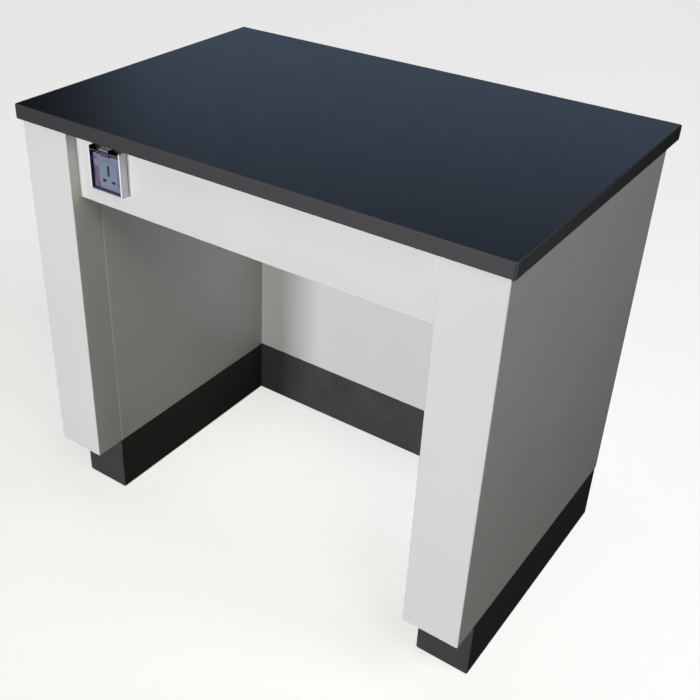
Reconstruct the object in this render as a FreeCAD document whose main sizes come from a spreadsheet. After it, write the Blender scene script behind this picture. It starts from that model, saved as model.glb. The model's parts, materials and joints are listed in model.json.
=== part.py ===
import FreeCAD, Part
import Sketcher
import os

# Weighing balance table: a resin worktop on rubber pads over a welded tube frame, clad in folded
# steel panels, with levelling feet behind the plinths and a splash-proof socket in the apron.
# Frame: origin on the floor under the middle of the table, +X right, +Y back, +Z up, in mm.

doc = FreeCAD.newDocument("BalanceTable")

SIZES = {
    # worktop
    "table_width": 900,
    "table_depth": 600,
    "worktop_thickness": 25.4,
    "worktop_corner_radius": 4,
    "worktop_top_chamfer": 1.5,
    "worktop_bottom_chamfer": 1,
    # cabinet
    "cabinet_height": 780,
    "side_overhang": 8,
    "front_overhang": 8,
    "back_overhang": 32,
    "front_box_depth": 60,
    "plinth_height": 120,
    "plinth_inset": 1,
    "plinth_end_return": 20,
    "floor_gap": 3,
    "apron_setback": 20,
    "apron_height": 120,
    "apron_flange": 20,
    "back_wall_depth": 47,
    # sheet metal
    "sheet_thickness": 1.2,
    "bend_radius": 0.8,
    "flange_width": 14,
    "cover_flange": 4,
    "seam_gap": 0.8,
    "fit_gap": 0.3,
    "top_gap": 2,
    # tube frame
    "tube_width": 60,
    "tube_wall": 3,
    "tube_corner_radius": 5,
    "tube_side_room": 20,
    "rear_rail_depth": 40,
    "frame_clearance": 4,
    "notch_gap": 2,
    "end_cap_depth": 8,
    "bracket_width": 24,
    "bracket_height": 40,
    "bracket_sheet": 2,
    "low_bracket_height": 200,
    "high_bracket_drop": 110,
    "apron_bracket_spread": 300,
    # worktop mounting
    "damper_diameter": 38,
    "damper_height": 10,
    "damper_inset": 30,
    "bolt_diameter": 8,
    "bolt_head_flats": 13,
    "bolt_head_height": 5.3,
    "bolt_engagement": 12,
    "bolt_hole_clearance": 0.5,
    "insert_diameter": 12,
    "insert_depth": 16,
    # levelling feet
    "foot_pad_diameter": 48,
    "foot_pad_top_diameter": 30,
    "foot_pad_height": 12,
    "foot_hex_flats": 19,
    "foot_hex_height": 8,
    "foot_retract": 10,
    "lock_nut_height": 10,
    "bush_flange": 6,
    "bush_length": 24,
    "bush_diameter": 24,
    "stem_diameter": 12,
    "stem_spare": 21,
    "running_clearance": 0.05,
    # cover screws
    "screw_diameter": 4.8,
    "screw_head_diameter": 9,
    "screw_head_height": 2.5,
    "screw_length": 10,
    "screw_end_margin": 80,
    "panel_screw_spread": 400,
    # socket under its splash cover
    "socket_offset": 80,
    "socket_drop": 50,
    "splash_width": 70,
    "splash_height": 76,
    "splash_depth": 15,
    "splash_wall": 3,
    "splash_corner_radius": 3,
    "window_width": 56,
    "window_height": 58,
    "gasket_thickness": 1,
    "gasket_margin": 0.5,
    "lid_wall": 1.6,
    "lid_recess": 1,
    "lid_corner_radius": 2,
    "lid_bottom_gap": 2,
    "lid_head_gap": 10,
    "lid_tab_width": 18,
    "lid_barrel_diameter": 5.5,
    "lid_pivot_drop": 4,
    "lid_pivot_depth": 2,
    "hinge_pin_diameter": 2.4,
    "well_margin": 1,
    "well_bridge": 1.5,
    "plate_thickness": 6,
    "plate_chamfer": 0.8,
    "insert_width": 38,
    "insert_height": 44,
    "insert_arch_radius": 15,
    "insert_proud": 0.6,
    "insert_offset": 2,
    "insert_lift": -6,
    "pin_spacing": 20,
    "pin_row_drop": 11.5,
    "earth_pin_lift": 6.5,
    "live_hole_width": 7,
    "live_hole_height": 4.6,
    "earth_hole_width": 5,
    "earth_hole_height": 18,
    "contact_wall": 0.8,
    "contact_length": 14,
    "rocker_width": 10,
    "rocker_height": 34,
    "rocker_offset": 24.5,
    "rocker_lift": -14,
    "rocker_depth": 5,
    "rocker_tilt": 4,
    "rocker_end_play": 0.6,
    "rocker_rise": 2,
    "rocker_pin_diameter": 2,
    "back_box_width": 62,
    "back_box_height": 64,
    "back_box_depth": 38,
    "lug_size": 7,
    "lug_depth": 10,
    "small_screw_diameter": 3,
    "small_screw_head_diameter": 5,
    "small_screw_head_height": 1.4,
    "plate_screw_side": 25.5,
    "plate_screw_rise": 18,
    "gland_setback": 13,
    "gland_bore_diameter": 9,
    "gland_flats": 19,
    "gland_hex_height": 6,
    "gland_dome_height": 9,
    "gland_thread_diameter": 15,
    "gland_thread_spare": 4,
}

sheet = doc.addObject("Spreadsheet::Sheet", "Sizes")
for row, (alias, number) in enumerate(SIZES.items(), start=1):
    sheet.set(f"A{row}", alias)
    sheet.set(f"B{row}", str(number))
    sheet.setAlias(f"B{row}", alias)
doc.recompute()


class Length:
    """A size, kept both as its number and as the expression that gives it from the sheet."""

    def __init__(self, value, text):
        self.value = value
        self.text = text

    def __add__(self, other):
        other = as_length(other)
        return Length(self.value + other.value, f"({self.text} + {other.text})")

    def __sub__(self, other):
        other = as_length(other)
        return Length(self.value - other.value, f"({self.text} - {other.text})")

    def __mul__(self, factor):
        return Length(self.value * factor, f"{self.text} * {factor}")

    def __truediv__(self, divisor):
        return Length(self.value / divisor, f"{self.text} / {divisor}")

    def __neg__(self):
        return Length(-self.value, f"(0 - {self.text})")


def as_length(item):
    if isinstance(item, Length):
        return item
    return Length(float(item), f"({item})")


class Sizes:
    """Reads each alias of the sheet as a Length."""

    def __getattr__(self, alias):
        return Length(float(sheet.get(alias)), f"Sizes.{alias}")


size = Sizes()
ZERO = as_length(0)
HEX_CORNER = 0.57735  # corner radius of a hexagon one unit across its flats
FRONT = "XZ_Plane"  # sketches drawn in X and Z, with prisms that grow towards the front
TOP = "XY_Plane"  # sketches drawn in X and Y, with prisms that grow upwards
SIDE = "YZ_Plane"  # sketches drawn in Y and Z, with prisms that grow to the right


# ---- building blocks ----

def bind(item, prop, length):
    item.setExpression(prop, as_length(length).text)


def new_body(label, x=ZERO, y=ZERO, z=ZERO):
    body = doc.addObject("PartDesign::Body", label)
    body.Label = label
    place(body, x, y, z)
    return body


def place(item, x, y, z):
    bind(item, "Placement.Base.x", x)
    bind(item, "Placement.Base.y", y)
    bind(item, "Placement.Base.z", z)


def new_sketch(body, role, start):
    sketch = body.newObject("Sketcher::SketchObject", body.Name + "_sketch")
    support = [feature for feature in body.Origin.OriginFeatures if feature.Role == role]
    sketch.AttachmentSupport = [(support[0], "")]
    sketch.MapMode = "FlatFace"
    bind(sketch, "AttachmentOffset.Base.z", start)
    return sketch


def pin_point(sketch, geometry, end, point):
    for kind, length in zip(("DistanceX", "DistanceY"), point):
        length = as_length(length)
        index = sketch.addConstraint(Sketcher.Constraint(kind, -1, 1, geometry, end, length.value))
        sketch.setExpression(f"Constraints[{index}]", length.text)


def draw_polygon(sketch, points):
    corners = [FreeCAD.Vector(as_length(x).value, as_length(y).value, 0) for x, y in points]
    first = sketch.GeometryCount
    for start, end in zip(corners, corners[1:] + corners[:1]):
        sketch.addGeometry(Part.LineSegment(start, end), False)
    for step, point in enumerate(points):
        following = first + (step + 1) % len(points)
        sketch.addConstraint(Sketcher.Constraint("Coincident", first + step, 2, following, 1))
        pin_point(sketch, first + step, 1, point)


def draw_circle(sketch, x, y, diameter):
    diameter = as_length(diameter)
    centre = FreeCAD.Vector(as_length(x).value, as_length(y).value, 0)
    circle = Part.Circle(centre, FreeCAD.Vector(0, 0, 1), diameter.value / 2)
    geometry = sketch.addGeometry(circle, False)
    index = sketch.addConstraint(Sketcher.Constraint("Diameter", geometry, diameter.value))
    sketch.setExpression(f"Constraints[{index}]", diameter.text)
    pin_point(sketch, geometry, 3, (x, y))


def extrude(body, sketch, length, cut):
    kind = "PartDesign::Pocket" if cut else "PartDesign::Pad"
    before = body.Shape.Volume if cut else 0
    feature = body.newObject(kind, body.Name + ("_pocket" if cut else "_pad"))
    feature.Profile = sketch
    feature.Reversed = cut
    bind(feature, "Length", length)
    doc.recompute()
    if cut and body.Shape.Volume > before - 1e-3:
        raise ValueError(f"a pocket of {body.Label} cuts nothing")
    return feature


def prism(body, role, points, start, length, cut=False):
    """A prism on one outline, from start to start + length along the plane's normal."""
    return prisms(body, role, [points], start, length, cut)


def prisms(body, role, outlines, start, length, cut=False):
    sketch = new_sketch(body, role, start)
    for points in outlines:
        draw_polygon(sketch, points)
    return extrude(body, sketch, length, cut)


def rounds(body, role, centres, diameter, start, length, cut=False, bore=None):
    """Cylinders of one diameter on several centres, each with a bore if one is given."""
    sketch = new_sketch(body, role, start)
    for x, y in centres:
        draw_circle(sketch, x, y, diameter)
        if bore is not None:
            draw_circle(sketch, x, y, bore)
    return extrude(body, sketch, length, cut)


def rectangle(x, y, width, height):
    return [(x, y), (x + width, y), (x + width, y + height), (x, y + height)]


def centred(x, y, width, height):
    return rectangle(as_length(x) - width / 2, as_length(y) - height / 2, width, height)


def block(body, x, y, z, width, depth, height, cut=False):
    return prism(body, TOP, rectangle(x, y, width, depth), z, height, cut)


def hexagon(x, y, flats):
    corner = flats * HEX_CORNER
    turns = ((1, 0), (0.5, 1), (-0.5, 1), (-1, 0), (-0.5, -1), (0.5, -1))
    return [(x + corner * along, y + flats * (across / 2)) for along, across in turns]


def edges_along(shape, axis, places=None):
    """Names of the straight edges along an axis, all of them or those through given places."""
    direction = FreeCAD.Vector(*axis)
    names = []
    for number, edge in enumerate(shape.Edges, start=1):
        if edge.Curve.TypeId != "Part::GeomLine":
            continue
        if abs(edge.tangentAt(edge.FirstParameter).dot(direction)) < 0.999:
            continue
        point = edge.Vertexes[0].Point
        if places is None or any(passes(point, direction, spot) for spot in places):
            names.append(f"Edge{number}")
    return names


def passes(point, direction, spot):
    reach = FreeCAD.Vector(*[as_length(part).value for part in spot]) - point
    return reach.cross(direction).Length < 1e-4


def dress(body, kind, edges, prop, length):
    base = body.Tip
    feature = body.newObject("PartDesign::" + kind, body.Name + "_" + kind.lower())
    feature.Base = (base, edges)
    bind(feature, prop, length)
    doc.recompute()
    return feature


def round_edges(body, axis, radius, places=None):
    local = body.Tip.Shape
    return dress(body, "Fillet", edges_along(local, axis, places), "Radius", radius)


def mirrored(source, label):
    """The same piece on the other side of the table's middle plane."""
    twin = doc.addObject("Part::Mirroring", label)
    twin.Label = label
    twin.Source = source
    twin.Normal = FreeCAD.Vector(1, 0, 0)
    return twin


# ---- places worked out from the driving sizes ----

half_width = size.table_width / 2
half_depth = size.table_depth / 2
cabinet_front = size.front_overhang - half_depth
cabinet_back = half_depth - size.back_overhang
cabinet_depth = cabinet_back - cabinet_front
cabinet_top = size.cabinet_height - size.top_gap
pedestal_width = size.tube_width + size.tube_side_room * 2
pedestal_outer = half_width - size.side_overhang
pedestal_inner = pedestal_outer - pedestal_width
pedestal_centre = pedestal_outer - pedestal_width / 2
panel_height = cabinet_top - size.plinth_height
plinth_front = cabinet_front + size.front_box_depth
apron_face = cabinet_front + size.apron_setback
back_wall_front = cabinet_back - size.back_wall_depth
outer_bend = size.bend_radius + size.sheet_thickness

rail_top = size.cabinet_height - size.damper_height
rail_bottom = rail_top - size.tube_width
nut_bottom = size.foot_pad_height + size.foot_hex_height + size.foot_retract
bush_bottom = nut_bottom + size.lock_nut_height
post_bottom = bush_bottom + size.bush_flange
post_front = plinth_front + size.sheet_thickness + size.frame_clearance
post_back = cabinet_back - size.sheet_thickness
rear_rail_front = back_wall_front + size.sheet_thickness
post_side = pedestal_centre - size.tube_width / 2
front_post_centre = post_front + size.tube_width / 2
rear_post_centre = post_back - size.tube_width / 2

front_damper = post_front + size.tube_width + size.damper_inset
rear_damper = post_back - size.tube_width - size.damper_inset
damper_places = [
    (side, depth)
    for side in (-pedestal_centre, pedestal_centre)
    for depth in (front_damper, rear_damper)
]
foot_places = [
    (side, depth)
    for side in (-pedestal_centre, pedestal_centre)
    for depth in (front_post_centre, rear_post_centre)
]
bolt_hole = size.bolt_diameter + size.bolt_hole_clearance * 2
bolt_bore = size.bolt_diameter + size.running_clearance * 2
stem_bore = size.stem_diameter + size.running_clearance * 2
screw_bore = size.screw_diameter + size.running_clearance * 2
screw_hole = size.screw_diameter + size.fit_gap * 2


# ---- worktop and what it rests on ----

def build_worktop():
    body = new_body("worktop", z=size.cabinet_height)
    block(body, -half_width, -half_depth, ZERO, size.table_width, size.table_depth, size.worktop_thickness)
    round_edges(body, (0, 0, 1), size.worktop_corner_radius)
    top_edges = rim_edges(body.Tip.Shape, size.worktop_thickness)
    dress(body, "Chamfer", top_edges, "Size", size.worktop_top_chamfer)
    dress(body, "Chamfer", rim_edges(body.Tip.Shape, ZERO), "Size", size.worktop_bottom_chamfer)
    rounds(body, TOP, damper_places, size.insert_diameter, ZERO, size.insert_depth, cut=True)
    return body


def rim_edges(shape, level, axis="z"):
    """Names of the edges that lie wholly at one level of an axis."""
    return [
        f"Edge{number}"
        for number, edge in enumerate(shape.Edges, start=1)
        if all(abs(getattr(vertex.Point, axis) - level.value) < 1e-6 for vertex in edge.Vertexes)
    ]


def build_worktop_inserts():
    body = new_body("worktop_inserts", z=size.cabinet_height)
    rounds(body, TOP, damper_places, size.insert_diameter, ZERO, size.insert_depth, bore=bolt_bore)
    return body


def build_damping_pads():
    body = new_body("damping_pads", z=rail_top)
    rounds(body, TOP, damper_places, size.damper_diameter, ZERO, size.damper_height, bore=bolt_hole)
    return body


def build_worktop_bolts():
    body = new_body("worktop_bolts", z=rail_bottom)
    heads = [hexagon(x, y, size.bolt_head_flats) for x, y in damper_places]
    prisms(body, TOP, heads, -size.bolt_head_height, size.bolt_head_height)
    reach = size.tube_width + size.damper_height + size.bolt_engagement
    rounds(body, TOP, damper_places, size.bolt_diameter, ZERO, reach)
    return body


# ---- tube frame ----

def build_tube(label, role, corner, width, height, length):
    """A square or rectangular tube along a plane's normal, from its lowest corner."""
    body = new_body(label, *corner)
    axis = {TOP: (0, 0, 1), SIDE: (1, 0, 0), FRONT: (0, 1, 0)}[role]
    prism(body, role, rectangle(ZERO, ZERO, width, height), ZERO, length)
    round_edges(body, axis, size.tube_corner_radius)
    wall = size.tube_wall
    bore = rectangle(wall, wall, width - wall * 2, height - wall * 2)
    prism(body, role, bore, ZERO, length, cut=True)
    return body


def build_pedestal_frame():
    tube = size.tube_width
    left = -pedestal_centre - tube / 2
    post_length = rail_bottom - post_bottom
    front_post = build_tube(
        "left_front_post", TOP, (left, post_front, post_bottom), tube, tube, post_length
    )
    rear_post = build_tube(
        "left_rear_post", TOP, (left, post_back - tube, post_bottom), tube, tube, post_length
    )
    heights = [height - post_bottom for height in rear_screw_heights()]
    spots = [(tube / 2, height) for height in heights]
    rounds(rear_post, FRONT, spots, screw_bore, -tube, size.tube_wall, cut=True)
    top_rail = build_tube(
        "left_top_rail", FRONT, (left, post_back, rail_bottom), tube, tube, post_back - post_front
    )
    spots = [(tube / 2, front_damper - post_back), (tube / 2, rear_damper - post_back)]
    rounds(top_rail, TOP, spots, bolt_hole, ZERO, tube, cut=True)
    rail_length = post_back - post_front - tube * 2
    foot_rail = build_tube(
        "left_foot_rail", FRONT, (left, post_back - tube, post_bottom), tube, tube, rail_length
    )
    return [front_post, rear_post, top_rail, foot_rail]


def build_cross_rails():
    length = post_side * 2
    tube = size.tube_width
    depth = size.rear_rail_depth
    front_rail = build_tube(
        "front_cross_rail", SIDE, (-post_side, post_front, rail_bottom), tube, tube, length
    )
    rear_rail = build_tube(
        "rear_cross_rail", SIDE, (-post_side, rear_rail_front, rail_bottom), depth, tube, length
    )
    spots = [(post_side + x, tube / 2) for x in panel_screw_places()]
    rounds(rear_rail, FRONT, spots, screw_bore, -depth, size.tube_wall, cut=True)
    foot_rail = build_tube(
        "rear_foot_rail", SIDE, (-post_side, rear_rail_front, post_bottom), depth, tube, length
    )
    return [front_rail, rear_rail, foot_rail]


def build_rail_end_caps():
    body = new_body("rail_end_caps", y=post_back, z=rail_bottom + size.tube_width / 2)
    bore = size.tube_width - size.tube_wall * 2
    outlines = [centred(side, ZERO, bore, bore) for side in (-pedestal_centre, pedestal_centre)]
    front_end = post_back - post_front - size.end_cap_depth
    for start in (ZERO, front_end):
        prisms(body, FRONT, outlines, start, size.end_cap_depth)
    return body


def rear_screw_heights():
    return [size.plinth_height + size.screw_end_margin, rail_bottom - size.screw_end_margin]


def panel_screw_places():
    return [-size.panel_screw_spread / 2, size.panel_screw_spread / 2]


# ---- levelling feet ----

def build_foot_bushes():
    body = new_body("foot_bushes", z=bush_bottom)
    plates = [centred(x, y, size.tube_width, size.tube_width) for x, y in foot_places]
    prisms(body, TOP, plates, ZERO, size.bush_flange)
    rounds(body, TOP, foot_places, size.bush_diameter, size.bush_flange, size.bush_length)
    depth = size.bush_flange + size.bush_length
    rounds(body, TOP, foot_places, stem_bore, ZERO, depth, cut=True)
    return body


def build_lock_nuts():
    body = new_body("foot_lock_nuts", z=nut_bottom)
    nuts = [hexagon(x, y, size.foot_hex_flats) for x, y in foot_places]
    prisms(body, TOP, nuts, ZERO, size.lock_nut_height)
    rounds(body, TOP, foot_places, stem_bore, ZERO, size.lock_nut_height, cut=True)
    return body


def build_foot(name, depth):
    stem = new_body(name + "_foot_stem", -pedestal_centre, depth)
    pad_top = size.foot_pad_height
    axis = [(ZERO, ZERO)]
    prism(stem, TOP, hexagon(ZERO, ZERO, size.foot_hex_flats), pad_top, size.foot_hex_height)
    shank_start = pad_top + size.foot_hex_height
    shank_top = post_bottom + size.bush_length + size.stem_spare
    rounds(stem, TOP, axis, size.stem_diameter, shank_start, shank_top - shank_start)

    pad = new_body(name + "_foot_pad", -pedestal_centre, depth)
    rim = size.foot_pad_diameter / 2
    shoulder = size.foot_pad_top_diameter / 2
    profile = [(ZERO, ZERO), (rim, ZERO), (rim, pad_top / 3), (shoulder, pad_top), (ZERO, pad_top)]
    sketch = new_sketch(pad, FRONT, ZERO)
    draw_polygon(sketch, profile)
    turned = pad.newObject("PartDesign::Revolution", pad.Name + "_revolution")
    turned.Profile = sketch
    turned.ReferenceAxis = (sketch, ["V_Axis"])
    turned.Angle = 360
    doc.recompute()
    return [stem, pad]


# ---- folded steel panels ----

def build_pedestal_shell():
    """One folded sheet: inner return, front face and outer side, with flanges and a box floor."""
    body = new_body("left_pedestal_shell", -pedestal_outer, cabinet_front, size.plinth_height)
    width = pedestal_width
    wall = size.sheet_thickness
    outline = hook_outline(width, size.front_box_depth, cabinet_depth, wall)
    prism(body, TOP, outline, ZERO, panel_height)
    floor_depth = size.front_box_depth + size.seam_gap / 2
    block(body, wall, wall, ZERO, width - wall * 2, floor_depth - wall, wall)
    block(body, wall, wall, panel_height - wall, width - wall * 2, size.flange_width - wall, wall)
    run = cabinet_depth - wall * 2 - size.cover_flange
    for height in (ZERO, panel_height - wall):
        block(body, wall, wall, height, size.flange_width - wall, run, wall)
    corners = [(0, 0, 0), (width, 0, 0)]
    round_edges(body, (0, 0, 1), outer_bend, corners)
    return body


def hook_outline(width, short_leg, long_leg, wall):
    """A sheet folded into a hook: a long leg at x = 0, a front and a short leg at x = width."""
    return [
        (ZERO, ZERO),
        (width, ZERO),
        (width, short_leg),
        (width - wall, short_leg),
        (width - wall, wall),
        (wall, wall),
        (wall, long_leg),
        (ZERO, long_leg),
    ]


def build_inner_panel():
    """A tray whose flanges point into the pedestal, notched round the front cross rail."""
    front = plinth_front + size.seam_gap
    length = back_wall_front - size.fit_gap - front
    flange = size.flange_width
    wall = size.sheet_thickness
    body = new_body("left_inner_panel", -pedestal_inner - flange, front, size.plinth_height)
    block(body, ZERO, ZERO, ZERO, flange, length, panel_height)
    round_edges(body, (0, 0, 1), outer_bend, [(flange, 0, 0), (flange, length, 0)])
    hollow = panel_height - wall * 2
    block(body, ZERO, wall, wall, flange - wall, length - wall * 2, hollow, cut=True)
    notch_depth = post_front + size.tube_width + size.notch_gap - front
    notch_floor = rail_bottom - size.notch_gap - size.plinth_height
    notch_height = panel_height - notch_floor
    block(body, ZERO, ZERO, notch_floor, flange, notch_depth, notch_height, cut=True)
    return body


def build_rear_cover():
    """A shallow tray that closes the back of a pedestal, open at its lower edge."""
    wall = size.sheet_thickness
    left = -pedestal_outer + wall + size.fit_gap
    width = pedestal_width - wall - size.fit_gap
    depth = wall + size.cover_flange
    body = new_body("left_rear_cover", left, cabinet_back - depth, size.plinth_height)
    block(body, ZERO, ZERO, ZERO, width, depth, panel_height)
    bottom_room = panel_height - wall
    block(body, wall, ZERO, ZERO, width - wall * 2, size.cover_flange, bottom_room, cut=True)
    screw_x = -pedestal_centre - left
    spots = [(screw_x, height - size.plinth_height) for height in rear_screw_heights()]
    rounds(body, FRONT, spots, screw_hole, -depth, wall, cut=True)
    return body


def build_plinth():
    """A hook-shaped plinth under one pedestal, with fixing flanges along its two legs."""
    wall = size.sheet_thickness
    width = pedestal_width - size.plinth_inset * 2
    tall = size.plinth_height - size.floor_gap
    inner_leg = rear_rail_front - plinth_front
    outer_leg = cabinet_back - size.plinth_end_return - size.seam_gap - plinth_front
    body = new_body("left_plinth", -pedestal_outer + size.plinth_inset, plinth_front, size.floor_gap)
    prism(body, TOP, hook_outline(width, inner_leg, outer_leg, wall), ZERO, tall)
    lip = size.flange_width - wall
    start = size.frame_clearance + wall
    block(body, wall, start, tall - wall, lip, outer_leg - start, wall)
    block(body, width - size.flange_width, start, tall - wall, lip, inner_leg - start - wall, wall)
    round_edges(body, (0, 0, 1), outer_bend, [(0, 0, 0), (width, 0, 0)])
    return body


def channel_outline(depth, height, wall):
    """A sheet folded into a channel that opens to the back, drawn in Y and Z."""
    return [
        (ZERO, ZERO),
        (depth, ZERO),
        (depth, wall),
        (wall, wall),
        (wall, height - wall),
        (depth, height - wall),
        (depth, height),
        (ZERO, height),
    ]


def build_channel_panel(label, x, y, z, length, depth, height):
    body = new_body(label, x, y, z)
    prism(body, SIDE, channel_outline(depth, height, size.sheet_thickness), ZERO, length)
    round_edges(body, (1, 0, 0), outer_bend, [(0, 0, 0), (0, 0, height)])
    return body


def build_apron():
    left = size.fit_gap - pedestal_inner
    bottom = size.cabinet_height - size.apron_height
    length = pedestal_inner * 2 - size.fit_gap * 2
    height = size.apron_height - size.top_gap
    body = build_channel_panel("apron", left, apron_face, bottom, length, size.apron_flange, height)
    hole = centred(socket_x - left, socket_z - bottom, cutout_width, cutout_height)
    prism(body, FRONT, hole, -size.sheet_thickness, size.sheet_thickness, cut=True)
    spots = [(socket_x - left, socket_z - bottom + rise) for rise in frame_screw_rises]
    rounds(body, FRONT, spots, small_bore, -size.sheet_thickness, size.sheet_thickness, cut=True)
    return body


def build_back_panel():
    reach = pedestal_inner + size.flange_width
    return build_channel_panel(
        "back_panel", -reach, back_wall_front, size.plinth_height,
        reach * 2, size.flange_width, panel_height
    )


def build_rear_panel():
    half = pedestal_inner - size.fit_gap
    wall = size.sheet_thickness
    face = rear_rail_front + size.rear_rail_depth
    body = new_body("rear_panel", -half, face, size.plinth_height)
    block(body, ZERO, ZERO, ZERO, half * 2, wall, panel_height)
    height = rail_bottom + size.tube_width / 2 - size.plinth_height
    spots = [(half + x, height) for x in panel_screw_places()]
    rounds(body, FRONT, spots, screw_hole, -wall, wall, cut=True)
    return body


def build_back_plinth():
    half = pedestal_inner + size.plinth_inset - size.fit_gap
    tall = size.plinth_height - size.floor_gap
    body = new_body("back_plinth", -half, back_wall_front, size.floor_gap)
    block(body, ZERO, ZERO, ZERO, half * 2, size.sheet_thickness, tall)
    return body


def build_rear_plinth():
    """The plinth across the back, with a short return round each rear corner."""
    wall = size.sheet_thickness
    half = pedestal_outer - size.plinth_inset
    depth = size.plinth_end_return
    tall = size.plinth_height - size.floor_gap
    body = new_body("rear_plinth", -half, cabinet_back - depth, size.floor_gap)
    block(body, ZERO, ZERO, ZERO, half * 2, depth, tall)
    round_edges(body, (0, 0, 1), outer_bend, [(0, depth, 0), (half * 2, depth, 0)])
    block(body, wall, ZERO, ZERO, half * 2 - wall * 2, depth - wall, tall, cut=True)
    return body


# ---- brackets and screws ----

def bracket_outline(x, y, gap, width, wall):
    """A folded bracket in plan: a web across the gap and a foot against each side of it."""
    return [
        (x, y),
        (x + gap, y),
        (x + gap, y + width),
        (x + gap - wall, y + width),
        (x + gap - wall, y + wall),
        (x + wall, y + wall),
        (x + wall, y + width),
        (x, y + width),
    ]


def build_panel_brackets():
    body = new_body("left_panel_brackets")
    gap = pedestal_outer - size.sheet_thickness - pedestal_centre - size.tube_width / 2
    outer_x = -pedestal_outer + size.sheet_thickness
    inner_x = -post_side
    middle = size.bracket_width / 2
    spots = [
        (outer_x, front_post_centre - middle),
        (inner_x, front_post_centre - middle),
        (outer_x, rear_post_centre - middle),
    ]
    outlines = [bracket_outline(x, y, gap, size.bracket_width, size.bracket_sheet) for x, y in spots]
    for height in (size.low_bracket_height, rail_bottom - size.high_bracket_drop):
        prisms(body, TOP, outlines, height, size.bracket_height)
    return body


def build_apron_brackets():
    front = apron_face + size.sheet_thickness
    gap = post_front - front
    width = size.bracket_width
    wall = size.bracket_sheet
    bottom = rail_bottom + (size.tube_width - size.bracket_height) / 2
    body = new_body("apron_brackets", y=front, z=bottom)
    half = size.apron_bracket_spread / 2
    outlines = []
    for x in (-half, half):
        turned = bracket_outline(ZERO, x - width / 2, gap, width, wall)
        outlines.append([(across, along) for along, across in turned])
    prisms(body, TOP, outlines, ZERO, size.bracket_height)
    return body


def build_cover_screws():
    body = new_body("cover_screws", y=cabinet_back)
    for side in (-pedestal_centre, pedestal_centre):
        add_screws(body, [(side, height) for height in rear_screw_heights()], ZERO)
    panel_face = cabinet_back - rear_rail_front - size.rear_rail_depth - size.sheet_thickness
    height = rail_bottom + size.tube_width / 2
    add_screws(body, [(x, height) for x in panel_screw_places()], panel_face)
    return body


def add_screws(body, spots, depth):
    """Pan-head screws whose heads seat on a face that lies depth in front of the body's origin."""
    head = size.screw_head_height
    rounds(body, FRONT, spots, size.screw_head_diameter, depth - head, head)
    rounds(body, FRONT, spots, size.screw_diameter, depth, size.screw_length)


# ---- socket under its splash cover ----
# These pieces share an origin on the apron's face at the middle of the socket. Their prisms
# start from a distance in front of that face, which is negative behind it.

socket_x = size.socket_offset - pedestal_inner
socket_z = size.cabinet_height - size.socket_drop
cutout_width = size.window_width + size.gasket_margin * 2
cutout_height = size.window_height + size.gasket_margin * 2
cover_front = size.gasket_thickness + size.splash_depth
cover_floor = size.gasket_thickness + size.splash_wall
cavity_width = size.splash_width - size.splash_wall * 2
cavity_height = size.splash_height - size.splash_wall * 2
splash_top = size.splash_height / 2
plate_front = cover_floor + size.plate_thickness
lid_front = cover_front - size.lid_recess
lid_back = plate_front + size.fit_gap
lid_width = cavity_width - size.fit_gap * 2
lid_bottom = size.lid_bottom_gap - cavity_height / 2
lid_top = cavity_height / 2 - size.lid_head_gap
pivot_z = cavity_height / 2 - size.lid_pivot_drop
pivot_depth = lid_front - size.lid_pivot_depth
small_bore = size.small_screw_diameter + size.running_clearance * 2
screw_rise = size.window_height / 2 + size.splash_wall
frame_screw_rises = (-screw_rise, screw_rise)
plate_screw_spots = [
    (-size.plate_screw_side, size.plate_screw_rise),
    (size.plate_screw_side, -size.plate_screw_rise),
]
live_z = size.insert_lift - size.pin_row_drop
earth_z = size.insert_lift + size.earth_pin_lift
rocker_pivot = (
    socket_x - size.rocker_offset,
    apron_face - plate_front + size.rocker_depth / 2,
    socket_z + size.rocker_lift,
)
gland_y = size.sheet_thickness + size.back_box_depth - size.gland_setback


def new_socket_body(label):
    return new_body(label, socket_x, apron_face, socket_z)


def pin_holes():
    """Outlines of the live, neutral and earth holes."""
    half = size.pin_spacing / 2
    return [
        centred(size.insert_offset - half, live_z, size.live_hole_width, size.live_hole_height),
        centred(size.insert_offset + half, live_z, size.live_hole_width, size.live_hole_height),
        centred(size.insert_offset, earth_z, size.earth_hole_width, size.earth_hole_height),
    ]


def build_socket_gasket():
    body = new_socket_body("socket_gasket")
    edge = size.gasket_margin * 2
    outline = centred(ZERO, ZERO, size.splash_width - edge, size.splash_height - edge)
    prism(body, FRONT, outline, ZERO, size.gasket_thickness)
    round_edges(body, (0, 1, 0), size.splash_corner_radius)
    hole = centred(ZERO, ZERO, cutout_width, cutout_height)
    prism(body, FRONT, hole, ZERO, size.gasket_thickness, cut=True)
    spots = [(ZERO, rise) for rise in frame_screw_rises]
    rounds(body, FRONT, spots, small_bore, ZERO, size.gasket_thickness, cut=True)
    return body


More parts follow.
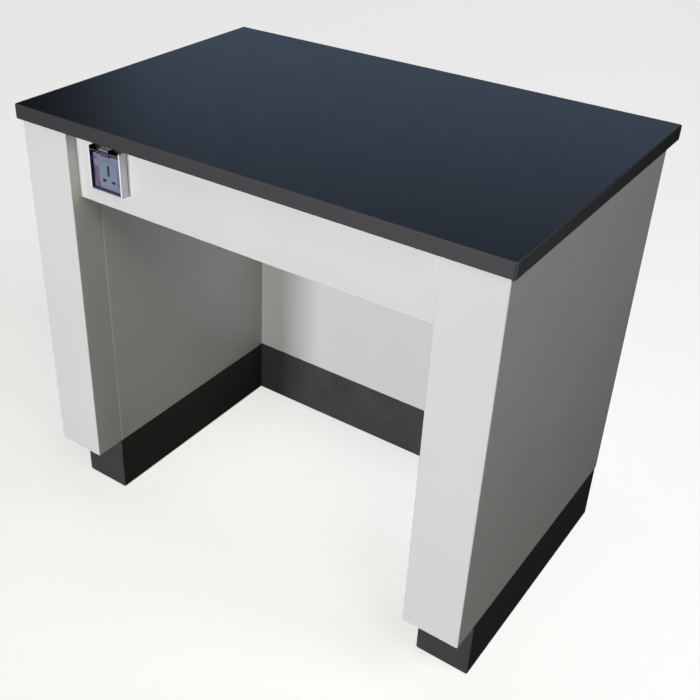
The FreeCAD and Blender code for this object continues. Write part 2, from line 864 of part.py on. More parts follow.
def build_splash_frame():
    body = new_socket_body("splash_frame")
    back = size.gasket_thickness
    outline = centred(ZERO, ZERO, size.splash_width, size.splash_height)
    prism(body, FRONT, outline, back, size.splash_depth)
    round_edges(body, (0, 1, 0), size.splash_corner_radius)
    cavity = centred(ZERO, ZERO, cavity_width, cavity_height)
    prism(body, FRONT, cavity, cover_floor, cover_front - cover_floor, cut=True)
    window = centred(ZERO, ZERO, size.window_width, size.window_height)
    prism(body, FRONT, window, back, size.splash_wall, cut=True)
    spots = [(ZERO, rise) for rise in frame_screw_rises]
    rounds(body, FRONT, spots, small_bore, back, size.splash_wall, cut=True)
    sink = cover_floor - size.small_screw_head_height
    head = size.small_screw_head_diameter + size.fit_gap * 2
    rounds(body, FRONT, spots, head, sink, size.small_screw_head_height, cut=True)
    wells = [well_outline(side, lid_top, splash_top - lid_top) for side in (-1, 1)]
    prisms(body, FRONT, wells, cover_floor, cover_front - cover_floor, cut=True)
    bridge_bottom = splash_top - size.well_bridge
    floors = [well_outline(side, lid_top, bridge_bottom - lid_top) for side in (-1, 1)]
    prisms(body, FRONT, floors, back, size.splash_wall, cut=True)
    bore = size.hinge_pin_diameter + size.running_clearance * 2
    half_pin = hinge_pin_length() / 2
    rounds(body, SIDE, [(-pivot_depth, pivot_z)], bore, -half_pin, half_pin * 2, cut=True)
    return body


def well_outline(side, bottom, height):
    """The open slot on one side (-1 or 1) of the lid's tab, between the tab and the cover's wall."""
    inner = size.lid_tab_width / 2 + size.well_margin
    width = cavity_width / 2 - inner
    middle = (inner + width / 2) * side
    return rectangle(middle - width / 2, bottom, width, height)


def hinge_pin_length():
    """The pin stops a third of the wall short of each outer side."""
    return size.splash_width - size.splash_wall * 2 / 3


def build_lid_hinge_pin():
    body = new_socket_body("lid_hinge_pin")
    half = hinge_pin_length() / 2
    rounds(body, SIDE, [(-pivot_depth, pivot_z)], size.hinge_pin_diameter, -half, half * 2)
    return body


def build_splash_lid():
    """A clear tray, open at the back, that hangs from the pin by a tab and barrel at its middle."""
    body = new_socket_body("splash_lid")
    wall = size.lid_wall
    tall = lid_top - lid_bottom
    middle = (lid_top + lid_bottom) / 2
    prism(body, FRONT, centred(ZERO, middle, lid_width, tall), lid_back, lid_front - lid_back)
    round_edges(body, (0, 1, 0), size.lid_corner_radius)
    inside = centred(ZERO, middle, lid_width - wall * 2, tall - wall * 2)
    prism(body, FRONT, inside, lid_back, lid_front - wall - lid_back, cut=True)
    barrel = size.lid_barrel_diameter
    half_tab = size.lid_tab_width / 2
    tab_back = -pivot_depth + wall / 2
    tab = rectangle(-lid_front, lid_top - wall, tab_back + lid_front, pivot_z - lid_top + wall)
    prism(body, SIDE, tab, -half_tab, size.lid_tab_width)
    rounds(body, SIDE, [(-pivot_depth, pivot_z)], barrel, -half_tab, size.lid_tab_width)
    bore = size.hinge_pin_diameter + size.running_clearance * 2
    rounds(body, SIDE, [(-pivot_depth, pivot_z)], bore, -half_tab, size.lid_tab_width, cut=True)
    return body


def build_socket_plate():
    body = new_socket_body("socket_plate")
    thick = size.plate_thickness
    outline = centred(ZERO, (lid_top + lid_bottom) / 2, lid_width, lid_top - lid_bottom)
    prism(body, FRONT, outline, cover_floor, thick)
    round_edges(body, (0, 1, 0), size.lid_corner_radius)
    rim = rim_edges(body.Tip.Shape, -plate_front, "y")
    dress(body, "Chamfer", rim, "Size", size.plate_chamfer)
    play = size.fit_gap * 2
    hole_width = size.insert_width + play
    hole_height = size.insert_height + play
    hole = centred(size.insert_offset, size.insert_lift, hole_width, hole_height)
    prism(body, FRONT, hole, cover_floor, thick, cut=True)
    top = size.insert_lift + size.insert_height / 2 + size.fit_gap
    left = size.insert_offset - size.insert_width / 2 - size.fit_gap
    right = size.insert_offset + size.insert_width / 2 + size.fit_gap
    round_edges(body, (0, 1, 0), size.insert_arch_radius, [(left, 0, top), (right, 0, top)])
    slot_width = size.rocker_width + play
    slot_height = size.rocker_height + size.rocker_end_play * 2
    slot = centred(-size.rocker_offset, size.rocker_lift, slot_width, slot_height)
    prism(body, FRONT, slot, cover_floor, thick, cut=True)
    rounds(body, FRONT, plate_screw_spots, small_bore, cover_floor, thick, cut=True)
    head = size.small_screw_head_diameter + play
    sink = plate_front - size.small_screw_head_height
    rounds(body, FRONT, plate_screw_spots, head, sink, size.small_screw_head_height, cut=True)
    return body


def build_socket_insert():
    body = new_socket_body("socket_insert")
    outline = centred(size.insert_offset, size.insert_lift, size.insert_width, size.insert_height)
    front = plate_front + size.insert_proud
    prism(body, FRONT, outline, cover_floor, front - cover_floor)
    top = size.insert_lift + size.insert_height / 2
    left = size.insert_offset - size.insert_width / 2
    right = size.insert_offset + size.insert_width / 2
    round_edges(body, (0, 1, 0), size.insert_arch_radius, [(left, 0, top), (right, 0, top)])
    prisms(body, FRONT, pin_holes(), cover_floor, front - cover_floor, cut=True)
    return body


def build_socket_contacts():
    """Brass sleeves that stand behind the three pin holes."""
    body = new_socket_body("socket_contacts")
    wall = size.contact_wall
    start = cover_floor - size.contact_length
    half = size.pin_spacing / 2
    live_width = size.live_hole_width + wall * 2
    live_height = size.live_hole_height + wall * 2
    earth_width = size.earth_hole_width + wall * 2
    earth_height = size.earth_hole_height + wall * 2
    sleeves = [
        centred(size.insert_offset - half, live_z, live_width, live_height),
        centred(size.insert_offset + half, live_z, live_width, live_height),
        centred(size.insert_offset, earth_z, earth_width, earth_height),
    ]
    prisms(body, FRONT, sleeves, start, size.contact_length)
    prisms(body, FRONT, pin_holes(), start, size.contact_length, cut=True)
    return body


def build_switch_rocker():
    """A rocker whose front is a shallow vee, drawn in Y and Z about its pin and tilted to off."""
    body = new_body("switch_rocker", *rocker_pivot)
    half = size.rocker_height / 2
    rise = size.rocker_rise
    side = [
        (size.rocker_depth / 2, -half / 2),
        (size.rocker_depth / 2, half / 2),
        (-rise / 2, half),
        (-rise - rise / 2, half),
        (-rise, ZERO),
        (-rise - rise / 2, -half),
        (-rise / 2, -half),
    ]
    prism(body, SIDE, side, -size.rocker_width / 2, size.rocker_width)
    bore = size.rocker_pin_diameter + size.running_clearance * 2
    rounds(body, SIDE, [(ZERO, ZERO)], bore, -size.rocker_width / 2, size.rocker_width, cut=True)
    body.Placement.Rotation = FreeCAD.Rotation(FreeCAD.Vector(-1, 0, 0), size.rocker_tilt.value)
    bind(body, "Placement.Rotation.Angle", size.rocker_tilt)
    return body


def build_rocker_pin():
    body = new_body("rocker_pin", *rocker_pivot)
    reach = size.rocker_width / 2 + size.fit_gap
    rounds(body, SIDE, [(ZERO, ZERO)], size.rocker_pin_diameter, -reach, reach * 2)
    return body


def build_back_box():
    """The metal box behind the apron, with two lugs for the plate's screws and a gland hole."""
    body = new_socket_body("socket_back_box")
    wall = size.sheet_thickness
    front = -wall
    width = size.back_box_width
    height = size.back_box_height
    depth = size.back_box_depth
    prism(body, FRONT, centred(ZERO, ZERO, width, height), front - depth, depth)
    inside = centred(ZERO, ZERO, width - wall * 2, height - wall * 2)
    prism(body, FRONT, inside, front - depth + wall, depth - wall, cut=True)
    lugs = []
    for x, z in plate_screw_spots:
        toward = 1 if x.value > 0 else -1
        edge = width / 2 * toward
        inner = x - size.lug_size / 2 * toward
        left, right = (inner, edge) if toward > 0 else (edge, inner)
        lugs.append([
            (left, z - size.lug_size / 2),
            (right, z - size.lug_size / 2),
            (right, z + size.lug_size / 2),
            (left, z + size.lug_size / 2),
        ])
    lug_back = front - size.lug_depth
    prisms(body, FRONT, lugs, lug_back, size.lug_depth)
    rounds(body, FRONT, plate_screw_spots, small_bore, lug_back, size.lug_depth, cut=True)
    hole = size.gland_thread_diameter + size.running_clearance * 2
    rounds(body, TOP, [(ZERO, gland_y)], hole, -height / 2, wall, cut=True)
    return body


def build_cable_gland():
    body = new_socket_body("cable_gland")
    axis = [(ZERO, gland_y)]
    under = -size.back_box_height / 2
    thread = size.sheet_thickness + size.gland_thread_spare
    hex_start = under - size.gland_hex_height
    dome_start = hex_start - size.gland_dome_height
    prism(body, TOP, hexagon(ZERO, gland_y, size.gland_flats), hex_start, size.gland_hex_height)
    rounds(body, TOP, axis, size.gland_thread_diameter, dome_start, size.gland_dome_height)
    rounds(body, TOP, axis, size.gland_thread_diameter, under, thread)
    whole = size.gland_hex_height + size.gland_dome_height + thread
    rounds(body, TOP, axis, size.gland_bore_diameter, dome_start, whole, cut=True)
    return body


def build_small_screws(label, spots, seat, depth):
    """Countersunk-in screws whose heads end flush with the face they sit in."""
    body = new_socket_body(label)
    head = size.small_screw_head_height
    rounds(body, FRONT, spots, size.small_screw_head_diameter, seat - head, head)
    rounds(body, FRONT, spots, size.small_screw_diameter, seat - head - depth, depth)
    return body


# ---- the whole table ----

def build_table():
    pieces = [
        build_worktop(),
        build_worktop_inserts(),
        build_damping_pads(),
        build_worktop_bolts(),
        build_rail_end_caps(),
        build_foot_bushes(),
        build_lock_nuts(),
        build_apron(),
        build_back_panel(),
        build_rear_panel(),
        build_back_plinth(),
        build_rear_plinth(),
        build_apron_brackets(),
        build_cover_screws(),
    ]
    pieces += build_cross_rails()
    left = build_pedestal_frame()
    left += build_foot("left_front", front_post_centre)
    left += build_foot("left_rear", rear_post_centre)
    left += [
        build_pedestal_shell(),
        build_inner_panel(),
        build_rear_cover(),
        build_plinth(),
        build_panel_brackets(),
    ]
    right = [mirrored(piece, piece.Label.replace("left_", "right_")) for piece in left]
    frame_spots = [(ZERO, rise) for rise in frame_screw_rises]
    frame_screw_reach = cover_floor - size.small_screw_head_height + size.sheet_thickness
    plate_screw_reach = plate_front - size.small_screw_head_height + size.sheet_thickness + size.lug_depth
    pieces += [
        build_socket_gasket(),
        build_splash_frame(),
        build_lid_hinge_pin(),
        build_splash_lid(),
        build_socket_plate(),
        build_socket_insert(),
        build_socket_contacts(),
        build_switch_rocker(),
        build_rocker_pin(),
        build_back_box(),
        build_cable_gland(),
        build_small_screws("plate_screws", plate_screw_spots, plate_front, plate_screw_reach),
        build_small_screws("frame_screws", frame_spots, cover_floor, frame_screw_reach),
    ]
    return pieces + left + right


def check(pieces):
    for item in doc.Objects:
        if "Invalid" in item.State or "Error" in item.State:
            raise ValueError(f"{item.Label} did not recompute: {item.State}")
    for piece in pieces:
        if piece.Shape.isNull() or not piece.Shape.isValid() or not piece.Shape.Solids:
            raise ValueError(f"{piece.Label} has no valid shape")


def write(pieces):
    os.makedirs("parts", exist_ok=True)
    for piece in pieces:
        piece.Shape.exportStep(f"parts/{piece.Label}.step")
        print(piece.Label, len(piece.Shape.Solids), round(piece.Shape.Volume))


table = build_table()
doc.recompute()
check(table)
write(table)
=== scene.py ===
import json
import math

import bmesh
import bpy
import numpy as np
from mathutils import Matrix, Vector


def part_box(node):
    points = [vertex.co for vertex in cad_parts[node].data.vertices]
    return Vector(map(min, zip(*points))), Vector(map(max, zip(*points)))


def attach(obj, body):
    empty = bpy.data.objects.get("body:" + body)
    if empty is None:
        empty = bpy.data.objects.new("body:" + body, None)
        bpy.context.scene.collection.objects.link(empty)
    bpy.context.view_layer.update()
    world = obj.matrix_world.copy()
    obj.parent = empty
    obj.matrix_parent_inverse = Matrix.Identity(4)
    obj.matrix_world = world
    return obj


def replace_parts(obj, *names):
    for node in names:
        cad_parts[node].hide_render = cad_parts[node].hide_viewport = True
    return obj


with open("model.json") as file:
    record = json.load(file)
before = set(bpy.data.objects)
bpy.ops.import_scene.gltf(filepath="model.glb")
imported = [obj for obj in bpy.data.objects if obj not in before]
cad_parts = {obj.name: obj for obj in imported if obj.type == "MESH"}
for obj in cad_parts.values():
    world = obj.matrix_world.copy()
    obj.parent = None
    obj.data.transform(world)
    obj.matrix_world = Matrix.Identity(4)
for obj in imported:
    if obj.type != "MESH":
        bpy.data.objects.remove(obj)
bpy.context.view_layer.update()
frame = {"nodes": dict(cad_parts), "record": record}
nodes = frame["nodes"]
mm = 0.001
mergeDistance = 1e-7  # metres
cornerOverFlats = 0.57735  # a hexagon's half width over its corners for each mm over its flats


# materials

noiseSpan = {"From Min": 0.3, "From Max": 0.7}  # nearly all of a noise texture's values lie in this span


def linear(code):
    # sRGB hex to linear: (c + 0.055) / 1.055 to the power 2.4 above the straight toe
    parts = np.array([int(code[i:i + 2], 16) for i in (1, 3, 5)]) / 255
    values = np.where(parts <= 0.04045, parts / 12.92, ((parts + 0.055) / 1.055) ** 2.4)
    return (*values.tolist(), 1.0)


def addNode(tree, kind, settings, links=None):
    # one shader node with its settings, by socket or property name, and its incoming links
    node = tree.nodes.new("ShaderNode" + kind)
    for name, value in settings.items():
        if isinstance(name, int) or name in node.inputs:
            node.inputs[name].default_value = value
        else:
            setattr(node, name, value)
    for name, (source, output) in (links or {}).items():
        tree.links.new(source.outputs[output], node.inputs[name])
    return node


def newMaterial(name, shader):
    # an empty material with a Principled shader, and Object coordinates to read
    material = bpy.data.materials.new(name)
    material.use_nodes = True
    tree = material.node_tree
    tree.nodes.clear()
    place = addNode(tree, "TexCoord", {})
    principled = addNode(tree, "BsdfPrincipled", shader)
    addNode(tree, "OutputMaterial", {}, {"Surface": (principled, "BSDF")})
    return material, tree, place, principled


def rangeOf(ends):
    # settings that stretch the span of a noise texture over the range between two ends
    return {**noiseSpan, "To Min": ends[0], "To Max": ends[1]}


def distanceFrom(tree, axes, axis, centre=0.0):
    # how far a point is from a plane: the size of its coordinate less the plane's
    shifted = addNode(tree, "Math", {"operation": "SUBTRACT", 1: centre}, {0: (axes, axis)})
    return addNode(tree, "Math", {"operation": "ABSOLUTE"}, {0: (shifted, 0)})


def whereAll(tree, tests):
    # 1 where every test holds, else 0: each test compares an output with a limit, and the results multiply
    product = None
    for comparison, source, output, limit in tests:
        passed = addNode(tree, "Math", {"operation": comparison, 1: limit}, {0: (source, output)})
        if product is not None:
            passed = addNode(tree, "Math", {"operation": "MULTIPLY"}, {0: (product, 0), 1: (passed, 0)})
        product = passed
    return product


def roughened(tree, place, shader, look):
    # a bump from noise whose grains are grainMm wide, as strong as grain and grainDepthMm deep
    noise = addNode(tree, "TexNoise", {"Scale": 1000 / look["grainMm"], "Detail": look["grainDetail"]},
                    {"Vector": (place, "Object")})
    bump = addNode(tree, "Bump", {"Strength": look["grain"], "Distance": look["grainDepthMm"] * mm},
                   {"Height": (noise, "Fac")})
    tree.links.new(bump.outputs["Normal"], shader.inputs["Normal"])


def castResin():
    # cast phenolic resin: the ground top is near black with a blue cast and a soft sheen, faintly mottled;
    # the sawn and sanded edges are greyer and duller; a band along the top of each edge is painted lighter, a
    # painted highlight, and the ends are painted lighter at the front and darker at the rear, painted light
    # and shade. Sanding marks are about 0.2 mm wide, too fine to show, so the grain is drawn coarser
    look = {"top": "#14171d", "topLight": "#171b22", "edge": "#1d1c1e", "edgeLight": "#252426",
            "arrisHighlight": "#3d3c3f", "paintedLitEndFront": "#4a4d51", "paintedShadedEndRear": "#25292e", "mottleMm": 45,
            "gloss": (0.33, 0.355), "edgeRoughness": 0.62, "arrisHighlightLevel": 0.8040, "topLevel": 0.80536,
            "paintedEndFrom": 0.4485, "paintedEndReach": 0.3, "grainMm": 2.2, "grainDetail": 2.0, "grain": 0.10,
            "grainDepthMm": 0.2}
    material, tree, place, shader = newMaterial("castResin", {"IOR": 1.58})
    axes = addNode(tree, "SeparateXYZ", {}, {"Vector": (place, "Object")})
    mottle = addNode(tree, "TexNoise", {"Scale": 1000 / look["mottleMm"], "Detail": 5.0},
                     {"Vector": (place, "Object")})
    top = addNode(tree, "Mix", {"data_type": "RGBA", 6: linear(look["top"]), 7: linear(look["topLight"])},
                  {0: (mottle, "Fac")})
    edge = addNode(tree, "Mix", {"data_type": "RGBA", 6: linear(look["edge"]), 7: linear(look["edgeLight"])},
                   {0: (mottle, "Fac")})
    # painted light and shade: the ends are coloured lighter than the front edge, fading from painted light at
    # the front to painted shade at the rear
    along = addNode(tree, "MapRange", {"From Min": -look["paintedEndReach"], "From Max": look["paintedEndReach"]},
                    {"Value": (axes, "Y")})
    end = addNode(tree, "Mix", {"data_type": "RGBA", 6: linear(look["paintedLitEndFront"]), 7: linear(look["paintedShadedEndRear"])},
                  {0: (along, "Result")})
    # painted highlight: a band along the top of each edge, just under the top face, is coloured lighter as if
    # it caught the light
    onArrisHighlight = whereAll(tree, [("GREATER_THAN", axes, "Z", look["arrisHighlightLevel"])])
    onPaintedEnd = whereAll(tree, [("GREATER_THAN", distanceFrom(tree, axes, "X"), 0, look["paintedEndFrom"])])
    onTop = whereAll(tree, [("GREATER_THAN", axes, "Z", look["topLevel"])])
    front = addNode(tree, "Mix", {"data_type": "RGBA", 7: linear(look["arrisHighlight"])},
                    {0: (onArrisHighlight, 0), 6: (edge, 2)})
    rim = addNode(tree, "Mix", {"data_type": "RGBA"}, {0: (onPaintedEnd, 0), 6: (front, 2), 7: (end, 2)})
    tint = addNode(tree, "Mix", {"data_type": "RGBA"}, {0: (onTop, 0), 6: (rim, 2), 7: (top, 2)})
    tree.links.new(tint.outputs[2], shader.inputs["Base Color"])
    gloss = addNode(tree, "MapRange", rangeOf(look["gloss"]), {"Value": (mottle, "Fac")})
    duller = addNode(tree, "Mix", {"data_type": "FLOAT", 2: look["edgeRoughness"]},
                     {0: (onTop, 0), 3: (gloss, "Result")})
    tree.links.new(duller.outputs[0], shader.inputs["Roughness"])
    roughened(tree, place, shader, look)
    return material


def powderCoat(name, look):
    # baked powder coat on folded sheet: even colour, a low ripple like orange peel, slight handling marks;
    # where a depth is given, the strip in front of it is painted paler, a painted highlight along the front
    # edge
    material, tree, place, shader = newMaterial(name, {"IOR": 1.5})
    smudge = addNode(tree, "TexNoise", {"Scale": 1000 / look["smudgeMm"], "Detail": 4.0, "Roughness": 0.55},
                     {"Vector": (place, "Object")})
    tint = addNode(tree, "Mix", {"data_type": "RGBA", 6: linear(look["dark"]), 7: linear(look["light"])},
                   {0: (smudge, "Fac")})
    if "highlightDepth" in look:
        # painted highlight: the strip in front of the given depth takes a paler colour, as if its edge caught
        # the light
        axes = addNode(tree, "SeparateXYZ", {}, {"Vector": (place, "Object")})
        onPaintedHighlight = whereAll(tree, [("LESS_THAN", axes, "Y", look["highlightDepth"])])
        tint = addNode(tree, "Mix", {"data_type": "RGBA", 7: linear(look["highlightColour"])},
                       {0: (onPaintedHighlight, 0), 6: (tint, 2)})
    tree.links.new(tint.outputs[2], shader.inputs["Base Color"])
    gloss = addNode(tree, "MapRange", rangeOf(look["gloss"]), {"Value": (smudge, "Fac")})
    tree.links.new(gloss.outputs["Result"], shader.inputs["Roughness"])
    roughened(tree, place, shader, {"grainDetail": 1.0, "grainDepthMm": 0.3, **look})
    return material


def zincPlate():
    # bright zinc plate: pale metal with cloudy passivation
    look = {"dark": "#a9acae", "light": "#d3d4d0", "cloudMm": 6, "gloss": (0.24, 0.42)}
    material, tree, place, shader = newMaterial("zincPlate", {"Metallic": 1.0})
    cloud = addNode(tree, "TexNoise", {"Scale": 1000 / look["cloudMm"], "Detail": 4.0},
                    {"Vector": (place, "Object")})
    tint = addNode(tree, "Mix", {"data_type": "RGBA", 6: linear(look["dark"]), 7: linear(look["light"])},
                   {0: (cloud, "Fac")})
    tree.links.new(tint.outputs[2], shader.inputs["Base Color"])
    gloss = addNode(tree, "MapRange", rangeOf(look["gloss"]), {"Value": (cloud, "Fac")})
    tree.links.new(gloss.outputs["Result"], shader.inputs["Roughness"])
    return material


def moulded(name, look):
    # injection-moulded plastic or rubber: even colour with a fine texture from the eroded mould; its grit is
    # about 0.1 mm wide, too fine to show, so it is drawn some ten times coarser
    settings = {"Roughness": look["roughness"], "IOR": look["ior"], "Base Color": linear(look["colour"])}
    material, tree, place, shader = newMaterial(name, settings)
    roughened(tree, place, shader, {"grainDetail": 3.0, "grainDepthMm": 0.1, **look})
    return material


def tintedPolycarbonate():
    # moulded violet-blue polycarbonate, thin and glossy: it filters what is behind it, and the side walls of
    # the tray, seen edge on, let less through than its face; the hinge tab keeps a matt finish from the mould
    look = {"body": "#4b4868", "face": "#f1f1f8", "wall": "#b9b5d2", "wallMm": 1.9, "halfWidth": 31.7,
            "centre": -0.262, "tabLevel": 0.7551, "roughness": (0.08, 0.5), "solid": (0.10, 0.75)}
    material, tree, place, shader = newMaterial("tintedPolycarbonate", {
        "Base Color": linear(look["body"]), "IOR": 1.58})
    axes = addNode(tree, "SeparateXYZ", {}, {"Vector": (place, "Object")})
    aside = distanceFrom(tree, axes, "X", look["centre"])
    inWall = whereAll(tree, [("GREATER_THAN", aside, 0, (look["halfWidth"] - look["wallMm"]) * mm)])
    onTab = whereAll(tree, [("GREATER_THAN", axes, "Z", look["tabLevel"])])
    tint = addNode(tree, "Mix", {"data_type": "RGBA", 6: linear(look["face"]), 7: linear(look["wall"])},
                   {0: (inWall, 0)})
    roughness, solid = (
        addNode(tree, "Mix", {"data_type": "FLOAT", 2: look[name][0], 3: look[name][1]}, {0: (onTab, 0)})
        for name in ("roughness", "solid"))
    tree.links.new(roughness.outputs[0], shader.inputs["Roughness"])
    film = addNode(tree, "BsdfTransparent", {}, {"Color": (tint, 2)})
    surface = addNode(tree, "MixShader", {}, {0: (solid, 0), 1: (film, 0), 2: (shader, "BSDF")})
    tree.links.new(surface.outputs[0], tree.nodes["Material Output"].inputs["Surface"])
    return material


def shadedRecessAbs():
    # white moulded ABS with a slight gloss; the walls of the recess behind the lid are painted near black, a
    # painted shade, and its floor a lighter painted shade; the bottom rim and the hinge block above the lid's
    # tab are painted greyer, painted shade as well
    look = {"shell": "#eaebf2", "rim": "#c9cac9", "recessShade": "#15151a", "recessFloorShade": "#b4b4bd", "block": "#85868b",
            "centreX": -0.262, "centreZ": 0.730, "halfWidth": 32.2, "halfHeight": 37.8, "front": -0.2875,
            "shadedRimLevel": 0.6945, "floorLevel": 0.6956, "blockLevel": 0.7632, "blockHalf": 10.6}
    material, tree, place, shader = newMaterial("shadedRecessAbs", {"Roughness": 0.32, "IOR": 1.53})
    axes = addNode(tree, "SeparateXYZ", {}, {"Vector": (place, "Object")})
    aside = distanceFrom(tree, axes, "X", look["centreX"])
    away = distanceFrom(tree, axes, "Z", look["centreZ"])
    # painted shade: inside the recess behind the lid the walls are painted near black and the floor a lighter
    # grey
    inRecess = whereAll(tree, [("GREATER_THAN", axes, "Y", look["front"]),
                               ("LESS_THAN", aside, 0, look["halfWidth"] * mm),
                               ("LESS_THAN", away, 0, look["halfHeight"] * mm)])
    # painted shade: the rim below the lid is painted greyer than the white shell
    onShadedRim = whereAll(tree, [("LESS_THAN", axes, "Z", look["shadedRimLevel"])])
    # painted shade: the hinge block above the lid's tab is painted grey, as shaded under the worktop
    onBlockShade = whereAll(tree, [("LESS_THAN", aside, 0, look["blockHalf"] * mm),
                              ("GREATER_THAN", axes, "Z", look["blockLevel"])])
    onFloor = whereAll(tree, [("LESS_THAN", axes, "Z", look["floorLevel"])])
    shell = addNode(tree, "Mix", {"data_type": "RGBA", 6: linear(look["shell"]), 7: linear(look["rim"])},
                    {0: (onShadedRim, 0)})
    outer = addNode(tree, "Mix", {"data_type": "RGBA", 7: linear(look["block"])},
                    {0: (onBlockShade, 0), 6: (shell, 2)})
    recessShading = addNode(tree, "Mix", {"data_type": "RGBA", 6: linear(look["recessShade"]), 7: linear(look["recessFloorShade"])},
                   {0: (onFloor, 0)})
    tint = addNode(tree, "Mix", {"data_type": "RGBA"}, {0: (inRecess, 0), 6: (outer, 2), 7: (recessShading, 2)})
    tree.links.new(tint.outputs[2], shader.inputs["Base Color"])
    return material


def turnedBrass():
    # turned brass: a plain yellow metal, smooth from the tool
    look = {"Base Color": linear("#c9a45c"), "Metallic": 1.0, "Roughness": 0.3}
    return newMaterial("turnedBrass", look)[0]


paleLook = {"dark": "#d3d3d0", "light": "#dbdad8", "smudgeMm": 160, "gloss": (0.34, 0.44), "grainMm": 5,
            "grain": 0.05}
charcoalLook = {"dark": "#393939", "light": "#3f3f40", "smudgeMm": 60, "gloss": (0.38, 0.52), "grainMm": 4,
                "grain": 0.08}
primerLook = {"dark": "#62666a", "light": "#6d7073", "smudgeMm": 40, "gloss": (0.5, 0.65), "grainMm": 3,
              "grain": 0.1}
absLook = {"ior": 1.53, "grainMm": 1.0, "grain": 0.06}
finishes = {  # by the material slots of the record
    "resin": castResin(),
    "pale_coat": powderCoat("palePowderCoat", paleLook),
    "charcoal_coat": powderCoat("charcoalPowderCoat", charcoalLook),
    "frame_paint": powderCoat("primerPaint", primerLook),
    "zinc_steel": zincPlate(),
    "rubber": moulded("blackRubber", {"colour": "#1b1b1c", "roughness": 0.7, "ior": 1.52, "grainMm": 1.5,
                                      "grain": 0.3}),
    "brass": turnedBrass(),
    "black_plastic": moulded("blackNylon", {"colour": "#202122", "roughness": 0.45, "ior": 1.53,
                                            "grainMm": 0.8, "grain": 0.15}),
    "white_plastic": shadedRecessAbs(),
    "grey_plastic": moulded("aquaGreyAbs", {**absLook, "colour": "#b2c6c2", "roughness": 0.4}),
    "rocker_plastic": moulded("pinkGreyAbs", {**absLook, "colour": "#a58b95", "roughness": 0.35}),
    "clear_lid": tintedPolycarbonate(),
}

# the inner panels get a painted highlight along their front edges
edgeHighlightCoat = powderCoat("edgeHighlightPowderCoat", {**paleLook, "highlightDepth": -0.2284, "highlightColour": "#fbfbf4"})
finishOf = {  # by node, where it isn't its slot's; the loop below fills in the rest
    "left_inner_panel": edgeHighlightCoat,
    "right_inner_panel": edgeHighlightCoat,
    "socket_plate": moulded("lilacGreyAbs", {**absLook, "colour": "#bdb9c6", "roughness": 0.36}),
}
slotOf = {entry["node"]: entry["material_slot"] for entry in frame["record"]["subparts"]}
bodyOf = {node: body for body, members in frame["record"]["behaviour"]["bodies"].items() for node in members}
for name, node in nodes.items():
    node.data.materials.clear()
    finishOf.setdefault(name, finishes[slotOf[name]])
    node.data.materials.append(finishOf[name])
print("materials ready")


# building blocks for new pieces

def addPiece(name, mesh, node):
    # a new piece that stands for a CAD node: same body, same finish
    piece = bpy.data.objects.new(name, mesh)
    bpy.context.scene.collection.objects.link(piece)
    if not mesh.materials:
        mesh.materials.append(finishOf[node])
    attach(piece, bodyOf[node])
    return piece


def joinSheets(name, sheets, smoothDegrees=40):
    # one mesh from several sheets of points (rows, columns, 3): each sheet's last column joins its first, and
    # every cell between neighbouring points becomes a quad
    points, faces, start = [], [], 0
    for grid in sheets:
        rows, columns = grid.shape[:2]
        index = np.arange(rows * columns).reshape(rows, columns) + start
        index = np.concatenate([index, index[:, :1]], axis=1)
        quads = np.stack([index[:-1, :-1], index[:-1, 1:], index[1:, 1:], index[1:, :-1]], axis=-1)
        points.append(grid.reshape(-1, 3))
        faces.append(quads.reshape(-1, 4))
        start += rows * columns
    points, faces = np.concatenate(points), np.concatenate(faces)
    mesh = bpy.data.meshes.new(name)
    mesh.vertices.add(len(points))
    mesh.vertices.foreach_set("co", points.astype(np.float32).ravel())
    mesh.loops.add(faces.size)
    mesh.loops.foreach_set("vertex_index", faces.astype(np.int32).ravel())
    mesh.polygons.add(len(faces))
    mesh.polygons.foreach_set("loop_start", np.arange(0, faces.size, 4, dtype=np.int32))
    mesh.update(calc_edges=True)
    work = bmesh.new()
    work.from_mesh(mesh)
    bmesh.ops.remove_doubles(work, verts=work.verts, dist=mergeDistance)
    bmesh.ops.dissolve_degenerate(work, edges=work.edges, dist=mergeDistance)
    bmesh.ops.recalc_face_normals(work, faces=work.faces)
    work.to_mesh(mesh)
    work.free()
    mesh.shade_smooth()
    mesh.set_sharp_from_angle(angle=math.radians(smoothDegrees))
    return mesh


def lathe(profile, centre, count, shape=None):
    # rings of count points about a vertical axis through the centre: each (height, radius) of the profile, in
    # mm above the centre, gives one ring, whose radius becomes shape(angle, radius, height) if that is given
    angle = np.linspace(0, 2 * np.pi, count, endpoint=False)
    height, radius = (np.array(column)[:, None] * mm for column in zip(*profile))
    radius = radius * np.ones(count)
    if shape is not None:
        radius = shape(angle, radius, height)
    ring = [centre[0] + radius * np.cos(angle), centre[1] + radius * np.sin(angle)]
    return np.stack([*ring, centre[2] + height + np.zeros(count)], axis=-1)


def hexagonal(flats):
    # the radius becomes the nearer of the ring's own radius and a hexagon's side at that angle
    def shape(angle, radius, height):
        side = flats / 2 * mm / np.cos((angle - np.pi / 6) % (np.pi / 3) - np.pi / 6)
        return np.minimum(radius, side)
    return shape


def threaded(pitch, depth, start, end):
    # between two heights the radius dips by a triangle wave that climbs one pitch in each turn
    def shape(angle, radius, height):
        phase = (height / (pitch * mm) - angle / (2 * np.pi)) % 1
        dip = depth * mm * (1 - np.abs(2 * phase - 1))
        inside = (height > start * mm) & (height < end * mm)
        return radius - np.where(inside, dip, 0)
    return shape


def rod(start, end, radius, tip, steps):
    # profile of a rod with chamfered ends and enough rings between them to carry a thread
    rings = [(height, radius) for height in np.linspace(start + tip, end - tip, steps)]
    return [(start, 0), (start, radius - tip), *rings, (end, radius - tip), (end, 0)]


